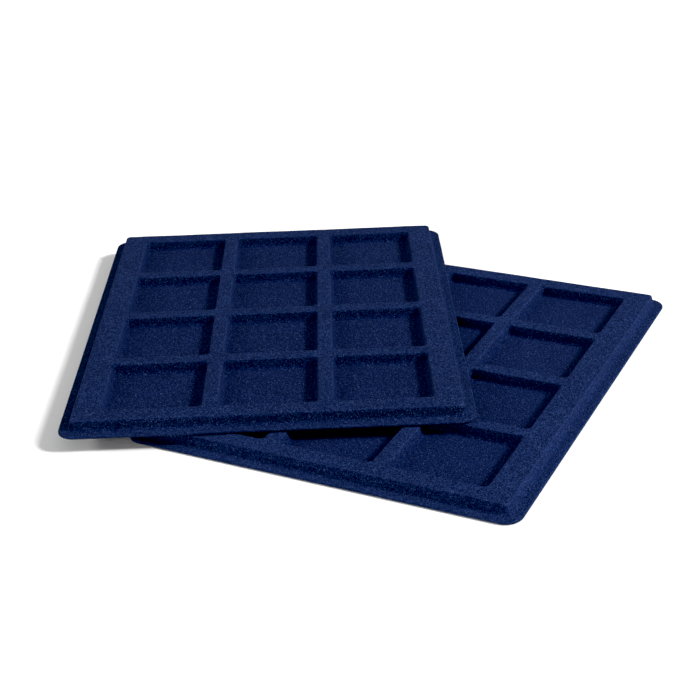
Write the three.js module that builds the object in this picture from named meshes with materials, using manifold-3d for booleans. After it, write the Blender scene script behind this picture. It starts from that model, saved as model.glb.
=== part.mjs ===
// Pair of coin display trays, in millimetres, +Z up.
//
// Each tray is one vacuum-formed plastic sheet with a grid of square coin
// pockets, covered on its display side by a bonded flock pile. The lower tray
// lies flat. The upper tray lies loose on the lower one's grid, turned askew,
// and hangs over its left side.
//
// Frame: origin on the resting plane, under the middle of the pair's box.
// X runs across the lower tray's columns, Y along them towards the back.

import * as THREE from 'three';
import { mergeVertices } from 'three/addons/utils/BufferGeometryUtils.js';
import Module from 'manifold-3d';

// ---- driving dimensions -------------------------------------------------

const COLUMNS = 3;
const ROWS = 4;

const POCKET_MOUTH = 50.0;      // square pocket from wall to wall, at the mouth
const POCKET_DRAFT = 0.7;       // each pocket wall leans back this much, floor to mouth
const POCKET_CORNER = 2.6;      // plan radius of a pocket's corners, at the mouth
const BAR_ACROSS = 8.0;         // grid bar between two columns
const BAR_ALONG = 8.0;          // grid bar between two rows
const BORDER_SIDE = 14.0;       // flat border outside the first and last column
const BORDER_END = 10.6;        // flat border outside the first and last row

const HEIGHT = 7.4;             // resting plane to the top of the grid
const FLOOR_LEVEL = 1.4;        // resting plane to the pile on a pocket floor
const LEDGE_LEVEL = 1.4;        // resting plane to the pile on the rim ledge
const RIM_WIDTH = 6.3;          // edge of the grid's flat top to the rim's outer edge
const SIDE_LEAN = 1.7;          // the outer side wall leans out this much, grid to ledge
const RIM_CORNER = 9.0;         // plan radius of the rim's outer corners
const EDGE_BREAK = 0.7;         // softened edge along the grid
const RIM_BREAK = 0.4;          // softened edge along the rim

const PILE = 0.4;               // flock pile thickness
const BOND_GAP = 0.3;           // gap kept between the pile and the sheet
const SHEET = 0.7;              // plastic sheet thickness
const PILE_HEM = 0.35;          // the pile stops this far above the resting plane

const STACK_GAP = 0.3;          // gap kept between the two trays
const UPPER_TURN = 26.9;        // turn of the upper tray in degrees, anticlockwise from above
const UPPER_X = -91.6;          // middle of the upper tray from the middle of the lower
const UPPER_Y = 8.7;

const POCKET_FACETS = 2;        // facets in a quarter turn of a pocket corner
const RIM_FACETS = 4;           // facets in a quarter turn of a rim corner

// ---- derived sizes ------------------------------------------------------

const HALF_X = (COLUMNS * POCKET_MOUTH + (COLUMNS - 1) * BAR_ACROSS) / 2 + BORDER_SIDE + RIM_WIDTH;
const HALF_Y = (ROWS * POCKET_MOUTH + (ROWS - 1) * BAR_ALONG) / 2 + BORDER_END + RIM_WIDTH;
const PITCH_X = POCKET_MOUTH + BAR_ACROSS;
const PITCH_Y = POCKET_MOUTH + BAR_ALONG;
const OVERRUN = 4;              // how far a cutting solid runs past the face it cuts

// A surface of the sheet or the pile lies at one depth below the display
// surface, which has depth 0.
const SHEET_FACE = PILE + BOND_GAP;
const SHEET_BACK = SHEET_FACE + SHEET;

// ---- profiles -----------------------------------------------------------
// A profile is a list of [out, z] points: out is measured outwards from a
// plan outline, z up from the resting plane.

// The softened edge gets smaller with depth, as a parallel curve does.
function edgeBreak(depth) {
  const size = EDGE_BREAK - (2 - Math.SQRT2) * depth;
  return size > 0.05 ? size : 0;
}

// Wall of a pocket at a depth, as a function of z.
function pocketWall(depth, z) {
  const rise = HEIGHT - EDGE_BREAK - FLOOR_LEVEL;
  const slope = POCKET_DRAFT / rise;
  return -POCKET_DRAFT + (z - FLOOR_LEVEL) * slope + depth * Math.hypot(1, slope);
}

// Pocket surface at a depth, from its floor to its mouth.
function pocketProfile(depth) {
  const soft = edgeBreak(depth);
  const top = HEIGHT - depth;
  const profile = [
    [pocketWall(depth, FLOOR_LEVEL - depth), FLOOR_LEVEL - depth],
    [pocketWall(depth, top - soft), top - soft],
  ];
  if (soft > 0) profile.push([pocketWall(depth, top - soft) + soft, top]);
  return profile;
}

// Outer side wall at a depth, as a function of z.
function sideWall(depth, z) {
  const head = -RIM_WIDTH + EDGE_BREAK;
  const rise = HEIGHT - EDGE_BREAK - LEDGE_LEVEL;
  const slope = -SIDE_LEAN / rise;
  return head + (z - (HEIGHT - EDGE_BREAK)) * slope - depth * Math.hypot(1, slope);
}

// Outer side wall with the softened edge above it, from the given level up.
function sideProfile(depth, from) {
  const soft = edgeBreak(depth);
  const top = HEIGHT - depth;
  const profile = [
    [sideWall(depth, from), from],
    [sideWall(depth, top - soft), top - soft],
  ];
  if (soft > 0) profile.push([sideWall(depth, top - soft) - soft, top]);
  return profile;
}

// Rim ledge at a depth, from its foot to where the side wall starts.
function rimProfile(depth, foot) {
  const top = LEDGE_LEVEL - depth;
  if (depth > 0) return [[-depth, foot], [-depth, top]];
  return [[0, foot], [0, top - RIM_BREAK], [-RIM_BREAK, top]];
}

// ---- solids -------------------------------------------------------------

const wasm = await Module();
wasm.setup();

// A rounded rectangle extruded in steps, one for each profile point. Each
// step's outline then moves to its own height and its own offset.
function steppedSolid(halfX, halfY, radius, facets, profile) {
  const x = halfX - radius;
  const y = halfY - radius;
  const outline = new THREE.Shape();
  outline.absarc(x, y, radius, 0, Math.PI * 0.5, false);
  outline.absarc(-x, y, radius, Math.PI * 0.5, Math.PI, false);
  outline.absarc(-x, -y, radius, Math.PI, Math.PI * 1.5, false);
  outline.absarc(x, -y, radius, Math.PI * 1.5, Math.PI * 2, false);
  outline.closePath();

  // An arc takes two facets for each curve segment.
  const steps = profile.length - 1;
  const geometry = new THREE.ExtrudeGeometry(outline, {
    steps,
    depth: steps,
    bevelEnabled: false,
    curveSegments: facets / 2,
  });
  const position = geometry.attributes.position;
  for (let i = 0; i < position.count; i += 1) {
    const [out, z] = profile[Math.round(position.getZ(i))];
    const cornerX = Math.sign(position.getX(i)) * x;
    const cornerY = Math.sign(position.getY(i)) * y;
    const grow = (radius + out) / radius;
    position.setXYZ(
      i,
      cornerX + (position.getX(i) - cornerX) * grow,
      cornerY + (position.getY(i) - cornerY) * grow,
      z,
    );
  }
  return geometry;
}

function toManifold(geometry) {
  const bare = geometry.clone();
  bare.deleteAttribute('normal');
  bare.deleteAttribute('uv');
  const merged = mergeVertices(bare, 1e-4);
  return new wasm.Manifold(new wasm.Mesh({
    numProp: 3,
    vertProperties: new Float32Array(merged.attributes.position.array),
    triVerts: new Uint32Array(merged.index.array),
  }));
}

function toGeometry(manifold) {
  const mesh = manifold.getMesh();
  const geometry = new THREE.BufferGeometry();
  geometry.setAttribute('position', new THREE.BufferAttribute(new Float32Array(mesh.vertProperties), 3));
  geometry.setIndex(new THREE.BufferAttribute(new Uint32Array(mesh.triVerts), 1));
  geometry.computeVertexNormals();
  return geometry;
}

// One plug for each pocket, with its foot and head run past the tray.
function pocketPlugs(depth, throughFloor) {
  const profile = pocketProfile(depth);
  if (throughFloor) profile[0] = [pocketWall(depth, -OVERRUN), -OVERRUN];
  profile.push([profile[profile.length - 1][0], HEIGHT + OVERRUN]);
  const half = POCKET_MOUTH / 2;
  const plug = steppedSolid(half, half, POCKET_CORNER, POCKET_FACETS, profile);
  const plugs = [];
  for (let row = 0; row < ROWS; row += 1) {
    for (let column = 0; column < COLUMNS; column += 1) {
      const x = (column - (COLUMNS - 1) / 2) * PITCH_X;
      const y = (row - (ROWS - 1) / 2) * PITCH_Y;
      plugs.push(toManifold(plug.clone().translate(x, y, 0)));
    }
  }
  return plugs;
}

function cut(body, tools) {
  return tools.reduce((rest, tool) => rest.subtract(tool), body);
}

function block(profile) {
  return toManifold(steppedSolid(HALF_X, HALF_Y, RIM_CORNER, RIM_FACETS, profile));
}

// The plastic sheet: flat on the resting plane under the rim and the pocket
// floors, and open below under the bars, the border and the side wall.
function sheetGeometry() {
  const face = cut(
    block([...rimProfile(SHEET_FACE, 0), ...sideProfile(SHEET_FACE, LEDGE_LEVEL - SHEET_FACE)]),
    pocketPlugs(SHEET_FACE, false),
  );
  const back = cut(block(sideProfile(SHEET_BACK, -OVERRUN)), pocketPlugs(SHEET_BACK, true));
  return toGeometry(face.subtract(back));
}

// The flock pile: a skin over the whole display side and down the rim's edge.
function pileGeometry() {
  const face = cut(
    block([...rimProfile(0, PILE_HEM), ...sideProfile(0, LEDGE_LEVEL)]),
    pocketPlugs(0, false),
  );
  const back = cut(
    block([...rimProfile(PILE, PILE_HEM - OVERRUN), ...sideProfile(PILE, LEDGE_LEVEL - PILE)]),
    pocketPlugs(PILE, false),
  );
  return toGeometry(face.subtract(back));
}

// ---- assembly -----------------------------------------------------------

const sheet = sheetGeometry();
const pile = pileGeometry();

function plasticMaterial() {
  return new THREE.MeshStandardMaterial({ color: 0x14182a, roughness: 0.5, metalness: 0 });
}

function flockMaterial() {
  return new THREE.MeshStandardMaterial({ color: 0x14234c, roughness: 1, metalness: 0 });
}

function tray(name) {
  const group = new THREE.Group();
  const base = new THREE.Mesh(sheet.clone(), plasticMaterial());
  base.name = `${name}_sheet`;
  const skin = new THREE.Mesh(pile.clone(), flockMaterial());
  skin.name = `${name}_flock`;
  group.add(base, skin);
  return group;
}

const lower = tray('lower_tray');
const upper = tray('upper_tray');
upper.position.set(UPPER_X, UPPER_Y, HEIGHT + STACK_GAP);
upper.rotation.z = THREE.MathUtils.degToRad(UPPER_TURN);

const pair = new THREE.Group();
pair.add(lower, upper);
pair.updateMatrixWorld(true);
const box = new THREE.Box3().setFromObject(pair, true);
const middle = box.getCenter(new THREE.Vector3());
pair.position.set(-middle.x, -middle.y, -box.min.z);

const group = new THREE.Group();
group.add(pair);
group.updateMatrixWorld(true);

export default group;
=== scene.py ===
# Pair of flocked coin display trays: the looks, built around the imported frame.

import math

import bpy
import numpy as np
from mathutils import Matrix, Vector


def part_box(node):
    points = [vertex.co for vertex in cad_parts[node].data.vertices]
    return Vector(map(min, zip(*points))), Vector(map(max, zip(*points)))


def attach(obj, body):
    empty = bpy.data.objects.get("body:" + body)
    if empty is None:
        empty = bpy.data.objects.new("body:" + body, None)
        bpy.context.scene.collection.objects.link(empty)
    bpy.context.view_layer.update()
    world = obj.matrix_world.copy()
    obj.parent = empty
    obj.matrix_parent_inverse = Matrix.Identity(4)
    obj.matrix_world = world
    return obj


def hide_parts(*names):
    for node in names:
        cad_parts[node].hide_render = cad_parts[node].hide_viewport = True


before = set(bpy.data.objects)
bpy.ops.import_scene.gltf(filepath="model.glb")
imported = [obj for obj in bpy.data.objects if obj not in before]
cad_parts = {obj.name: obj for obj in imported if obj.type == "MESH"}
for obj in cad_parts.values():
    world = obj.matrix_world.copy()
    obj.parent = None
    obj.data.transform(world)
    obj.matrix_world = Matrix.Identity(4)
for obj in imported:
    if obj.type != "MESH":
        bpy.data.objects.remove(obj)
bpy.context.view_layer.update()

MM = 0.001

# ---- tray sizes, in millimetres ---------------------------------------------
# The same as the frame's, except DRAFT, LEDGE_LEVEL and SIDE_LEAN, and the head of the side wall, 0.7 further in.

COLUMNS, ROWS = 3, 4
POCKET = 50.0          # mouth, wall to wall
DRAFT = 0.5
POCKET_CORNER = 2.6
BAR = 8.0
BORDER_SIDE, BORDER_END = 14.0, 10.6
HEIGHT = 7.4
FLOOR_LEVEL = 1.4
LEDGE_LEVEL = 1.7
RIM = 6.3
SIDE_LEAN = 1.1
RIM_CORNER = 9.0
PILE, BOND_GAP, SHEET = 0.4, 0.3, 0.7
HEM = 0.35
UPPER_TURN = 26.9

PITCH = POCKET + BAR
HALF_X = (COLUMNS * POCKET + (COLUMNS - 1) * BAR) / 2 + BORDER_SIDE + RIM
HALF_Y = (ROWS * POCKET + (ROWS - 1) * BAR) / 2 + BORDER_END + RIM

# how finely the surface is divided
SIDE_STEPS = 16        # along a pocket's straight side
CORNER_STEPS = 6       # round a pocket's corner
RIM_STEPS = 12         # round a rim corner


# ---- profiles ---------------------------------------------------------------

def rounded(points, radii, steps):
    """A polyline [(out, z)] with its inner corners rounded, each with its own radius and number of steps."""
    out = [points[0]]
    for i in range(1, len(points) - 1):
        p, a, b = (np.array(points[j], float) for j in (i, i - 1, i + 1))
        da, db = (a - p) / np.linalg.norm(a - p), (b - p) / np.linalg.norm(b - p)
        half = math.acos(max(-1.0, min(1.0, float(da @ db)))) / 2
        reach = radii[i - 1] / math.tan(half)
        centre = p + (da + db) / np.linalg.norm(da + db) * radii[i - 1] / math.sin(half)
        start, end = p + da * reach - centre, p + db * reach - centre
        a0 = math.atan2(start[1], start[0])
        turn = (math.atan2(end[1], end[0]) - a0 + math.pi) % (2 * math.pi) - math.pi
        for k in range(steps[i - 1] + 1):
            t = a0 + turn * k / steps[i - 1]
            out.append(tuple(centre + radii[i - 1] * np.array([math.cos(t), math.sin(t)])))
    out.append(points[-1])
    return out


def divided(points, most):
    """The same polyline with its long stretches cut into equal parts, by the given counts."""
    out = [points[0]]
    for p, q, n in zip(points, points[1:], most):
        for k in range(1, n + 1):
            out.append((p[0] + (q[0] - p[0]) * k / n, p[1] + (q[1] - p[1]) * k / n))
    return out


def pocket_profile(depth):
    """Floor to grid top, at a depth below the display surface. out is 0 at the mouth's wall."""
    slope = DRAFT / (HEIGHT - FLOOR_LEVEL - 0.7)
    wall = lambda z: -DRAFT + (z - FLOOR_LEVEL) * slope + depth * math.hypot(1, slope)
    floor, top = FLOOR_LEVEL - depth, HEIGHT - depth
    line = rounded(
        [(-3.4, floor), (wall(floor), floor), (wall(top), top), (2.0, top)],
        [1.9 + depth * 0.6, max(0.95 - depth * 0.6, 0.2)],
        [7, 7],
    )
    counts = [1] * (len(line) - 1)
    counts[8] = 3            # the straight wall between the two fillets
    return divided(line, counts)


def side_wall(depth):
    """Where the outer side wall is at a height, at a depth below the display surface."""
    head = -RIM
    slope = -SIDE_LEAN / (HEIGHT - 0.7 - LEDGE_LEVEL)
    return lambda z: head + (z - (HEIGHT - 0.7)) * slope - depth * math.hypot(1, slope)


def side_profile(depth, foot):
    """Grid top, outer side, ledge and rim, down to the foot. out is 0 at the rim's outer edge."""
    wall, top, ledge = side_wall(depth), HEIGHT - depth, LEDGE_LEVEL - depth
    line = rounded(
        [(-RIM - 2.2, top), (wall(top), top), (wall(ledge), ledge), (-depth, ledge), (-depth, foot)],
        [max(0.70 - depth * 0.45, 0.25), 1.5 + depth, max(0.62 - depth * 0.6, 0.12)],
        [7, 9, 5],
    )
    counts = [1] * (len(line) - 1)
    counts[8] = 3
    return divided(line, counts)


def under_profile(depth):
    """The underside of the sheet: grid top, outer side, and out under the ledge to the cut edge."""
    wall, top = side_wall(depth), HEIGHT - depth
    line = rounded(
        [(-RIM - 2.2, top), (wall(top), top), (wall(0.0), 0.0), (-(PILE + BOND_GAP) - 0.1, 0.0)],
        [0.3, 1.2],
        [4, 6],
    )
    counts = [1] * (len(line) - 1)
    counts[5] = 3
    return divided(line, counts)


# ---- one formed surface -----------------------------------------------------

def unevenness(x, y, phase):
    """Slow unevenness of a formed and flocked sheet, in millimetres, never above the true surface. It is the same at
    every depth, so the layers stay parallel."""
    return -0.11 + (
        0.055 * np.sin(0.071 * x + 0.9 + phase) * np.sin(0.063 * y + 0.4)
        + 0.030 * np.sin(0.193 * x - 0.127 * y + 2.1 + 3 * phase)
        + 0.020 * np.sin(0.417 * x + 0.291 * y + 0.3) * np.sin(0.37 * y - 1.1 + phase)
    )


class Surface:
    """Points welded by place, and faces whose winding faces up."""

    def __init__(self):
        self.points, self.faces, self.index = [], [], {}

    def at(self, x, y, z):
        key = (round(x * 500), round(y * 500), round(z * 500))
        if key not in self.index:
            self.index[key] = len(self.points)
            self.points.append((x, y, z))
        return self.index[key]

    def face(self, *ids):
        ids = [i for n, i in enumerate(ids) if i != ids[n - 1]]
        if len(ids) > 2:
            self.faces.append(tuple(ids))

    def bridge(self, inner, outer, closed=True):
        """Quads between two rings that run anticlockwise, the outer one outside or above the inner."""
        n = len(inner)
        for k in range(n if closed else n - 1):
            m = (k + 1) % n
            self.face(inner[k], outer[k], outer[m], inner[m])


def pocket_ring(surface, cx, cy, out, z):
    """A pocket's rounded square at an offset, anticlockwise, starting on its right side."""
    radius = max(POCKET_CORNER + out, 0.35)
    centre = POCKET / 2 + out - radius
    ring = []
    for quarter in range(4):
        turn = quarter * math.pi / 2
        c, s = round(math.cos(turn)), round(math.sin(turn))
        for k in range(SIDE_STEPS):
            x, y = centre + radius, -centre + 2 * centre * k / SIDE_STEPS
            ring.append(surface.at(cx + x * c - y * s, cy + x * s + y * c, z))
        for k in range(CORNER_STEPS):
            a = math.pi / 2 * k / CORNER_STEPS
            x, y = centre + radius * math.cos(a), centre + radius * math.sin(a)
            ring.append(surface.at(cx + x * c - y * s, cy + x * s + y * c, z))
    return ring


def cell_ring(surface, cx, cy, z):
    """The square cell round a pocket, with as many points as the pocket's rings."""
    centre, half = POCKET / 2 - POCKET_CORNER, PITCH / 2
    ring = []
    for quarter in range(4):
        turn = quarter * math.pi / 2
        c, s = round(math.cos(turn)), round(math.sin(turn))
        for k in range(SIDE_STEPS):
            x, y = half, -centre + 2 * centre * k / SIDE_STEPS
            ring.append(surface.at(cx + x * c - y * s, cy + x * s + y * c, z))
        for k in range(CORNER_STEPS):
            t = 2 * k / CORNER_STEPS
            x = half if t <= 1 else half - (half - centre) * (t - 1)
            y = centre + (half - centre) * t if t <= 1 else half
            ring.append(surface.at(cx + x * c - y * s, cy + x * s + y * c, z))
    return ring


def rim_stations():
    """Places round the tray, anticlockwise from the middle of the right side: a corner's centre, a direction, and the
    block point that the place looks back to."""
    bx, by = COLUMNS * PITCH / 2, ROWS * PITCH / 2
    kx, ky = HALF_X - RIM_CORNER, HALF_Y - RIM_CORNER
    centre = POCKET / 2 - POCKET_CORNER

    def along(cells):
        marks = []
        for n in range(cells):
            mid = (n - (cells - 1) / 2) * PITCH
            marks += [mid - centre + 2 * centre * k / SIDE_STEPS for k in range(SIDE_STEPS + 1)]
            half = PITCH / 2
            marks += [mid + centre + (half - centre) * 2 * k / CORNER_STEPS for k in range(1, CORNER_STEPS // 2 + 1)]
            marks += [mid - centre - (half - centre) * 2 * k / CORNER_STEPS for k in range(1, CORNER_STEPS // 2 + 1)]
        return sorted(set(round(m, 6) for m in marks))

    stations = []

    def side(cells, block, reach, place, block_place):
        marks = along(cells)
        extra = (reach - block) / 2
        for m in [-reach, -reach + extra] + marks + [reach - extra, reach]:
            stations.append((place(m), block_place(max(-block, min(block, m)))))

    def corner(cx, cy, start, bxp, byp):
        for k in range(1, RIM_STEPS):
            a = start + math.pi / 2 * k / RIM_STEPS
            stations.append(((cx, cy, math.cos(a), math.sin(a)), (bxp, byp)))

    side(ROWS, by, ky, lambda m: (kx, m, 1, 0), lambda m: (bx, m))
    corner(kx, ky, 0, bx, by)
    side(COLUMNS, bx, kx, lambda m: (-m, ky, 0, 1), lambda m: (-m, by))
    corner(-kx, ky, math.pi / 2, -bx, by)
    side(ROWS, by, ky, lambda m: (-kx, -m, -1, 0), lambda m: (-bx, -m))
    corner(-kx, -ky, math.pi, -bx, -by)
    side(COLUMNS, bx, kx, lambda m: (m, -ky, 0, -1), lambda m: (m, -by))
    corner(kx, -ky, math.pi * 1.5, bx, -by)
    return stations


def formed(pocket_line, side_line):
    """The whole display form at one depth: pockets, bars, border, side wall, ledge and rim. Returns the surface and its
    outermost ring."""
    surface = Surface()
    top = pocket_line[-1][1]
    for row in range(ROWS):
        for column in range(COLUMNS):
            cx = (column - (COLUMNS - 1) / 2) * PITCH
            cy = (row - (ROWS - 1) / 2) * PITCH
            rings = [pocket_ring(surface, cx, cy, out, z) for out, z in pocket_line]
            rings.append(cell_ring(surface, cx, cy, top))
            for inner, outer in zip(rings, rings[1:]):
                surface.bridge(inner, outer)
            # the floor: a grid whose edge lies inside the first ring
            z = pocket_line[0][1]
            c0 = POCKET / 2 - 4.5
            grid = [
                [
                    surface.at(cx - c0 + 2 * c0 * i / SIDE_STEPS, cy - c0 + 2 * c0 * j / SIDE_STEPS, z)
                    for i in range(SIDE_STEPS + 1)
                ]
                for j in range(SIDE_STEPS + 1)
            ]
            for j in range(SIDE_STEPS):
                for i in range(SIDE_STEPS):
                    surface.face(grid[j][i], grid[j][i + 1], grid[j + 1][i + 1], grid[j + 1][i])
            edge = []
            n = SIDE_STEPS
            for side in range(4):
                for k in range(n):
                    i, j = [(n, k), (n - k, n), (0, n - k), (k, 0)][side]
                    edge.append(grid[j][i])
                corner = [(n, n), (0, n), (0, 0), (n, 0)][side]
                edge += [grid[corner[1]][corner[0]]] * CORNER_STEPS
            surface.bridge(edge, rings[0])
    # border, side wall, ledge and rim
    stations = rim_stations()
    inner = [surface.at(bx, by, top) for _, (bx, by) in stations]
    for out, z in side_line:
        r = RIM_CORNER + out
        outer = [surface.at(cx + dx * r, cy + dy * r, z) for (cx, cy, dx, dy), _ in stations]
        surface.bridge(inner, outer)
        inner = outer
    return surface, inner


def skin(name, near, far, near_side, far_side, phase):
    """A closed layer between two depths, as a mesh in the tray's own frame, in millimetres."""
    a, edge_a = formed(near, near_side)
    b, edge_b = formed(far, far_side)
    shift = len(a.points)
    points = np.array(a.points + b.points, float)
    lift = np.clip(points[:, 2] / HEIGHT, 0, 1)
    points[:, 2] += lift * unevenness(points[:, 0], points[:, 1], phase)
    faces = list(a.faces) + [tuple(i + shift for i in reversed(f)) for f in b.faces]
    n = len(edge_a)
    for k in range(n):
        m = (k + 1) % n
        faces.append((edge_a[k], edge_b[k] + shift, edge_b[m] + shift, edge_a[m]))
    mesh = bpy.data.meshes.new(name)
    mesh.from_pydata(points.tolist(), [], faces)
    mesh.validate()
    mesh.update()
    # how strong the painted edge highlight is: most on the outer top edge, less at the pockets, little on the rim
    outer = (np.abs(points[:, 0]) > HALF_X - RIM - 3) | (np.abs(points[:, 1]) > HALF_Y - RIM - 3)
    highlight_gain = np.where(outer, np.where(points[:, 2] > HEIGHT / 2, 1.0, 0.12), 0.62)
    mesh.attributes.new("painted_highlight_gain", "FLOAT", "POINT").data.foreach_set("value", highlight_gain.astype(np.float32))
    # painted shade mask: how far down a point lies in its pocket, nothing on the outer part
    sunk = np.where(outer, 0.0, (HEIGHT - points[:, 2]) / (HEIGHT - FLOOR_LEVEL))
    mesh.attributes.new("sunk", "FLOAT", "POINT").data.foreach_set("value", sunk.astype(np.float32))
    # painted shade mask: the outer side wall, between the top edge and the ledge
    side = outer * np.clip((HEIGHT - 0.75 - points[:, 2]) / 0.9, 0, 1) * np.clip((points[:, 2] - LEDGE_LEVEL - 0.4) / 1.4, 0, 1)
    mesh.attributes.new("side", "FLOAT", "POINT").data.foreach_set("value", side.astype(np.float32))
    return mesh


def place(mesh, name, centre, level, turn):
    """Puts a tray mesh where the frame has its tray, and makes its object."""
    mesh.transform(
        Matrix.Translation((centre.x, centre.y, level)) @ Matrix.Rotation(turn, 4, "Z") @ Matrix.Scale(MM, 4)
    )
    mesh.shade_smooth()
    piece = bpy.data.objects.new(name, mesh)
    bpy.context.scene.collection.objects.link(piece)
    return piece


# ---- materials --------------------------------------------------------------

class Nodes:
    """Short calls for building a node material."""

    def __init__(self, name):
        self.material = bpy.data.materials.new(name)
        self.material.use_nodes = True
        self.tree = self.material.node_tree
        self.tree.nodes.clear()
        self.out = self.tree.nodes.new("ShaderNodeOutputMaterial")
        self.shader = self.tree.nodes.new("ShaderNodeBsdfPrincipled")
        self.tree.links.new(self.shader.outputs[0], self.out.inputs[0])
        coords = self.tree.nodes.new("ShaderNodeTexCoord")
        self.coords = coords.outputs["Object"]

    def link(self, a, b):
        self.tree.links.new(a, b)

    def scaled(self, scale, turn=0.0):
        """Object coordinates in millimetres times a scale for each axis."""
        m = self.tree.nodes.new("ShaderNodeMapping")
        m.inputs["Scale"].default_value = [1000 * v for v in scale]
        m.inputs["Rotation"].default_value = (0, 0, turn)
        self.link(self.coords, m.inputs["Vector"])
        return m.outputs[0]

    def noise(self, size, detail=2.0, rough=0.5, distort=0.0, vector=None, offset=0.0):
        """Noise whose features are about this many millimetres across."""
        n = self.tree.nodes.new("ShaderNodeTexNoise")
        n.noise_dimensions = "4D"
        n.inputs["W"].default_value = offset
        n.inputs["Scale"].default_value = 1.0 / size
        n.inputs["Detail"].default_value = detail
        n.inputs["Roughness"].default_value = rough
        n.inputs["Distortion"].default_value = distort
        self.link(vector or self.scaled((1, 1, 1)), n.inputs["Vector"])
        return n.outputs["Fac"]

    def cells(self, size, vector=None, output="Distance", randomness=1.0):
        n = self.tree.nodes.new("ShaderNodeTexVoronoi")
        n.inputs["Scale"].default_value = 1.0 / size
        n.inputs["Randomness"].default_value = randomness
        self.link(vector or self.scaled((1, 1, 1)), n.inputs["Vector"])
        return n.outputs[output]

    def ramp(self, value, stops, kind="LINEAR"):
        r = self.tree.nodes.new("ShaderNodeValToRGB")
        r.color_ramp.interpolation = kind
        while len(r.color_ramp.elements) < len(stops):
            r.color_ramp.elements.new(0.5)
        for e, (p, c) in zip(r.color_ramp.elements, stops):
            e.position = p
            e.color = (c, c, c, 1) if isinstance(c, (int, float)) else (*c, 1)
        self.link(value, r.inputs[0])
        return r.outputs[0]

    def math(self, op, a, b=None, c=None, clamp=False):
        m = self.tree.nodes.new("ShaderNodeMath")
        m.operation = op
        m.use_clamp = clamp
        for k, v in enumerate((a, b, c)):
            if v is None:
                continue
            if isinstance(v, (int, float)):
                m.inputs[k].default_value = v
            else:
                self.link(v, m.inputs[k])
        return m.outputs[0]

    def mix(self, fac, a, b, blend="MIX"):
        m = self.tree.nodes.new("ShaderNodeMix")
        m.data_type = "RGBA"
        m.blend_type = blend
        for socket, v in ((m.inputs[0], fac), (m.inputs[6], a), (m.inputs[7], b)):
            if isinstance(v, (int, float)):
                socket.default_value = v
            elif isinstance(v, tuple):
                socket.default_value = (*v, 1)
            else:
                self.link(v, socket)
        return m.outputs[2]

    def bump(self, height, strength, distance, normal=None):
        b = self.tree.nodes.new("ShaderNodeBump")
        b.inputs["Strength"].default_value = strength
        b.inputs["Distance"].default_value = distance
        self.link(height, b.inputs["Height"])
        if normal is not None:
            self.link(normal, b.inputs["Normal"])
        return b.outputs[0]

    def pointiness(self):
        g = self.tree.nodes.new("ShaderNodeNewGeometry")
        return g.outputs["Pointiness"]


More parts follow.
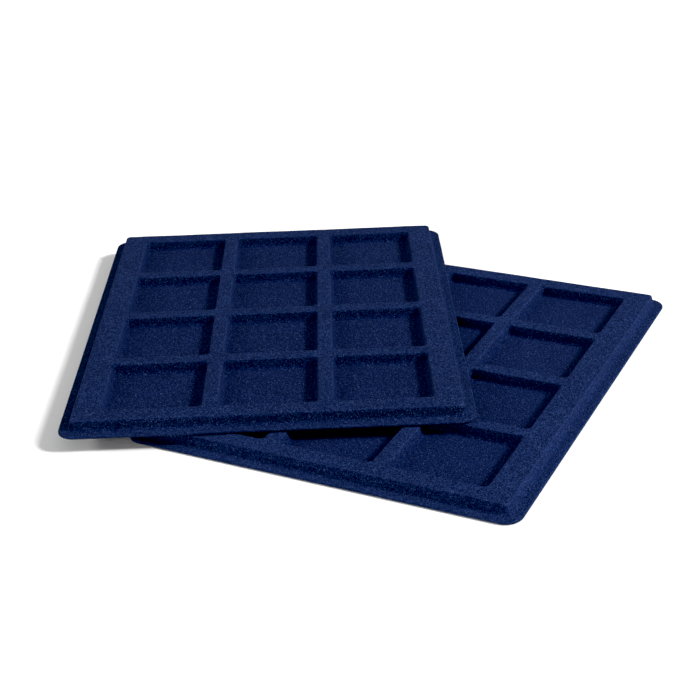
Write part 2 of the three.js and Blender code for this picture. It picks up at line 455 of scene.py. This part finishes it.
def flock(name, offset, painted_light_gain, painted_side_shade):
    """Deep blue velour flock: short upright pile, dark between the fibres, lighter where tips catch the light."""
    n = Nodes(name)
    warp = n.scaled((1, 1, 1))
    clumps = n.noise(1.30, 1.0, 0.5, 0.3, warp, offset)
    grain = n.noise(0.44, 1.0, 0.6, 0.0, warp, offset + 3)
    patches = n.noise(26.0, 2.0, 0.5, 0.6, warp, offset + 7)

    # colour: the gaps between tufts are deep, the tips paler
    tone = n.math("ADD", n.math("MULTIPLY", clumps, 0.22), n.math("MULTIPLY", grain, 0.78))
    colour = n.ramp(
        tone,
        [
            (0.37, (0.0022, 0.0054, 0.0265)),
            (0.47, (0.0036, 0.0088, 0.0380)),
            (0.53, (0.0074, 0.0160, 0.0580)),
            (0.60, (0.0230, 0.0450, 0.1220)),
        ],
    )
    # slow shading where the pile leans a little one way or the other
    slow = n.ramp(patches, [(0.30, 0.92), (0.70, 1.08)])
    colour = n.mix(1.0, colour, slow, "MULTIPLY")
    # colour balance times a per-tray gain; the gap between the trays' gains is painted light, the lower tray's flock
    # lighter as if lit more
    colour = n.mix(1.0, colour, (0.77 * painted_light_gain, 0.82 * painted_light_gain, 0.95 * painted_light_gain), "MULTIPLY")
    # painted shade: darker and bluer down in the pockets
    sunk = n.tree.nodes.new("ShaderNodeAttribute")
    sunk.attribute_name = "sunk"
    pocket_shade = n.ramp(sunk.outputs["Fac"], [(0.15, 1.0), (0.85, (0.72, 0.73, 0.83))])
    colour = n.mix(1.0, colour, pocket_shade, "MULTIPLY")
    # painted shade: the outer side wall darker, by the tray's painted side shade factor
    side = n.tree.nodes.new("ShaderNodeAttribute")
    side.attribute_name = "side"
    colour = n.mix(1.0, colour, n.ramp(side.outputs["Fac"], [(0.0, 1.0), (1.0, painted_side_shade)]), "MULTIPLY")
    # single fibres that stand up and catch the light
    chance = n.ramp(n.cells(0.58, warp, "Color"), [(0.0, 0.0), (0.75, 0.0), (0.87, 1.0)])
    near = n.ramp(n.cells(0.58, warp, "Distance"), [(0.18, 1.0), (0.42, 0.0)])
    fleck = n.math("MULTIPLY", chance, near)
    colour = n.mix(n.math("MULTIPLY", fleck, 0.85), colour, (0.100, 0.150, 0.320))
    # painted highlight over convex edges
    point = n.pointiness()
    highlight_gain = n.tree.nodes.new("ShaderNodeAttribute")
    highlight_gain.attribute_name = "painted_highlight_gain"
    edge = n.math("MULTIPLY", n.ramp(point, [(0.512, 0.0), (0.530, 1.0)]), highlight_gain.outputs["Fac"])
    colour = n.mix(n.math("MULTIPLY", edge, 0.74), colour, (0.030, 0.050, 0.145))
    # painted shade in the concave corners
    corner = n.ramp(point, [(0.46, 1.0), (0.496, 0.0)])
    colour = n.mix(n.math("MULTIPLY", corner, 0.30), colour, (0.0030, 0.0066, 0.0300))
    n.link(colour, n.shader.inputs["Base Color"])

    rough = n.ramp(grain, [(0.3, 0.90), (0.7, 1.0)])
    n.link(rough, n.shader.inputs["Roughness"])
    s = n.shader.inputs
    s["Specular IOR Level"].default_value = 0.03
    s["Sheen Weight"].default_value = 0.022
    s["Sheen Roughness"].default_value = 0.50
    s["Sheen Tint"].default_value = (0.42, 0.56, 1.0, 1)

    height = n.math("ADD", n.math("MULTIPLY", grain, 0.65), n.math("MULTIPLY", clumps, 0.35))
    n.link(n.bump(height, 0.22, 0.00030), s["Normal"])
    return n.material


def tray_plastic(name):
    """Dark vacuum-formed polystyrene: satin, a little orange-peel, faint draw marks and rubbed feet."""
    n = Nodes(name)
    peel = n.noise(1.6, 3.0, 0.55)
    draw = n.noise(9.0, 2.0, 0.5, 1.2, n.scaled((1.0, 0.22, 1.0)), 4.0)
    dust = n.noise(0.5, 2.0, 0.7, 0.0, None, 9.0)
    colour = n.ramp(draw, [(0.25, (0.0060, 0.0078, 0.0170)), (0.75, (0.0105, 0.0135, 0.0290))])
    edge = n.ramp(n.pointiness(), [(0.51, 0.0), (0.60, 1.0)])
    colour = n.mix(n.math("MULTIPLY", edge, 0.5), colour, (0.030, 0.036, 0.060))
    colour = n.mix(n.ramp(dust, [(0.66, 0.0), (0.80, 0.25)]), colour, (0.06, 0.065, 0.075))
    n.link(colour, n.shader.inputs["Base Color"])
    rough = n.math("ADD", n.ramp(draw, [(0.2, 0.36), (0.8, 0.48)]), n.math("MULTIPLY", peel, 0.10))
    n.link(rough, n.shader.inputs["Roughness"])
    n.shader.inputs["Specular IOR Level"].default_value = 0.45
    fine = n.bump(dust, 0.25, 0.00004)
    n.link(n.bump(peel, 0.5, 0.00016, fine), n.shader.inputs["Normal"])
    return n.material


def floor_material():
    n = Nodes("studio_floor")
    tone = n.ramp(n.noise(60.0, 3.0, 0.5), [(0.3, 0.93), (0.7, 0.95)])
    n.link(tone, n.shader.inputs["Base Color"])
    n.link(n.ramp(n.noise(4.0, 2.0, 0.5), [(0.3, 0.82), (0.7, 0.90)]), n.shader.inputs["Roughness"])
    n.shader.inputs["Specular IOR Level"].default_value = 0.1
    return n.material


# ---- the two trays ----------------------------------------------------------

# per tray: name, turn, phase, painted light gain (lower tray lighter) and painted side shade (upper tray's outer side
# darker)
for body, turn, phase, painted_light_gain, painted_side_shade in (
    ("lower_tray", 0.0, 0.0, 1.08, 1.0),
    ("upper_tray", math.radians(UPPER_TURN), 1.7, 0.98, 0.70),
):
    low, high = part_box(body + "_flock")
    centre = (low + high) / 2
    level = low.z - HEM * MM

    pile_mesh = skin(
        body + "_pile",
        pocket_profile(0.0), pocket_profile(PILE),
        side_profile(0.0, HEM), side_profile(PILE, HEM),
        phase,
    )
    pile = place(pile_mesh, body + "_pile", centre, level, turn)
    pile.data.materials.append(flock(body + "_flock_look", 10 * phase, painted_light_gain, painted_side_shade))
    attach(pile, body)
    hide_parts(body + "_flock")

    near, far = PILE + BOND_GAP, PILE + BOND_GAP + SHEET
    sheet_mesh = skin(
        body + "_formed_sheet",
        pocket_profile(near), pocket_profile(far),
        side_profile(near, 0.1), under_profile(far),
        phase,
    )
    sheet = place(sheet_mesh, body + "_formed_sheet", centre, level, turn)
    sheet.data.materials.append(tray_plastic(body + "_plastic_look"))
    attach(sheet, body)
    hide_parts(body + "_sheet")

# ---- studio -----------------------------------------------------------------

SIZE = 6.0
floor_mesh = bpy.data.meshes.new("studio_floor")
floor_mesh.from_pydata(
    [(-SIZE, -SIZE, 0), (SIZE, -SIZE, 0), (SIZE, SIZE, 0), (-SIZE, SIZE, 0)], [], [(0, 1, 2, 3)]
)
studio_floor = bpy.data.objects.new("studio_floor", floor_mesh)
bpy.context.scene.collection.objects.link(studio_floor)
floor_mesh.materials.append(floor_material())
studio_floor.location.z = -0.0002

# camera: right, down and forward as rows of the view's turn
VIEW = Matrix((
    (0.901636, 0.431204, -0.033391),
    (0.162493, -0.409292, -0.897817),
    (-0.400809, 0.804079, -0.439100),
))
RIGHT, DOWN, AHEAD = (Vector(VIEW[k]).normalized() for k in range(3))
camera_data = bpy.data.cameras.new("camera")
camera_data.sensor_width = 36.0
camera_data.lens = 73.553
camera_data.clip_end = 50.0
camera = bpy.data.objects.new("camera", camera_data)
bpy.context.scene.collection.objects.link(camera)
camera.matrix_world = Matrix.Translation((0.34396, -0.64208, 0.34878)) @ Matrix(
    (
        (RIGHT.x, -DOWN.x, -AHEAD.x, 0),
        (RIGHT.y, -DOWN.y, -AHEAD.y, 0),
        (RIGHT.z, -DOWN.z, -AHEAD.z, 0),
        (0, 0, 0, 1),
    )
)
bpy.context.scene.camera = camera

# lights are placed by how they stand to the camera's view of the object
flat_right = Vector((RIGHT.x, RIGHT.y, 0)).normalized()
flat_back = Vector((AHEAD.x, AHEAD.y, 0)).normalized()


def soft_light(name, right, back, up, width, height, watts, colour=(1, 1, 1), aim=(0, 0, 0)):
    data = bpy.data.lights.new(name, "AREA")
    data.shape = "RECTANGLE"
    data.size, data.size_y = width, height
    data.energy = watts
    data.color = colour
    light = bpy.data.objects.new(name, data)
    bpy.context.scene.collection.objects.link(light)
    light.location = flat_right * right + flat_back * back + Vector((0, 0, up))
    light.rotation_euler = (Vector(aim) - light.location).to_track_quat("-Z", "Y").to_euler()
    return light


def far_light(name, azimuth, elevation, width, level):
    """A far studio light: direction in degrees, apparent width in degrees, and what it adds on a level white card."""
    data = bpy.data.lights.new(name, "SUN")
    data.angle = math.radians(width)
    az, el = math.radians(azimuth), math.radians(elevation)
    data.energy = level * math.pi / math.sin(el)
    light = bpy.data.objects.new(name, data)
    bpy.context.scene.collection.objects.link(light)
    towards = Vector((math.cos(el) * math.cos(az), math.cos(el) * math.sin(az), math.sin(el)))
    light.rotation_euler = towards.to_track_quat("Z", "Y").to_euler()
    return light


far_light("key", 12.0, 36.5, 9.0, 0.62)
soft_light("near_key", 0.80, -0.20, 0.60, 0.16, 0.16, 3.7)
far_light("left_fill", 204.0, 25.0, 12.0, 0.155)
far_light("front_fill", 268.0, 24.0, 16.0, 0.065)

world = bpy.data.worlds.new("studio")
bpy.context.scene.world = world
world.use_nodes = True
world.node_tree.nodes["Background"].inputs[0].default_value = (1, 1, 1, 1)
world.node_tree.nodes["Background"].inputs[1].default_value = 0.35

scene = bpy.context.scene
scene.view_settings.view_transform = "Standard"
scene.view_settings.look = "None"
scene.view_settings.use_curve_mapping = True
scene.view_settings.curve_mapping.black_level = (0.0065, 0.0065, 0.0065)
scene.view_settings.curve_mapping.update()
scene.cycles.use_denoising = True
